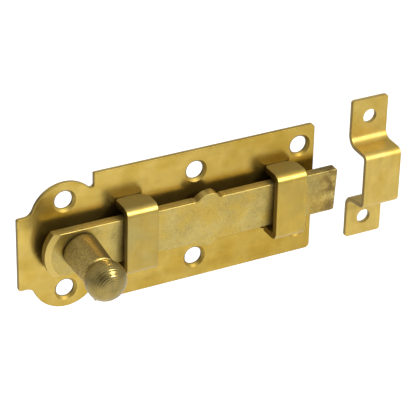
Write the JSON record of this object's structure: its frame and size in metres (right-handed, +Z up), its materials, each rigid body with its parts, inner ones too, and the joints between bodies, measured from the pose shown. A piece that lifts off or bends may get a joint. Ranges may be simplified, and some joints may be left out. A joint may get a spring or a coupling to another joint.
{
  "type": "door bolt with knob and keeper",
  "caption": "Flat sliding door bolt: punched base plate, two riveted bridges, flat bar with a turned knob, and a separate cranked keeper, in yellow zinc-plated steel.",
  "frame": {"origin": "middle of the base plate's back face, on the door", "axes": "+X the way the bar is thrown, +Y into the door (the front faces -Y), +Z up"},
  "size_m": [0.1265, 0.0291, 0.0484],
  "materials": {
    "plate_metal": "yellow passivated zinc, semi-gloss",
    "bridge_metal": "yellow passivated zinc, semi-gloss",
    "bar_metal": "yellow passivated zinc, satin with fine marks",
    "knob_metal": "yellow passivated zinc over turning marks, darker",
    "keeper_metal": "yellow passivated zinc, satin"
  },
  "bodies": {
    "plate": {"base_plate": "plate_metal", "rear_bridge": "bridge_metal", "front_bridge": "bridge_metal"},
    "bolt": {"bolt_bar": "bar_metal", "knob": "knob_metal"},
    "keeper": {"keeper": "keeper_metal"}
  },
  "joints": [
    {"name": "bolt_slide", "type": "slide", "parent": "plate", "child": "bolt", "axis": [1, 0, 0], "range_m": [-0.0164, 0.0078]},
    {"name": "keeper_place", "type": "slide", "parent": "plate", "child": "keeper", "axis": [-0.9826, 0, -0.1856], "range_m": [0, 0.00916]}
  ]
}
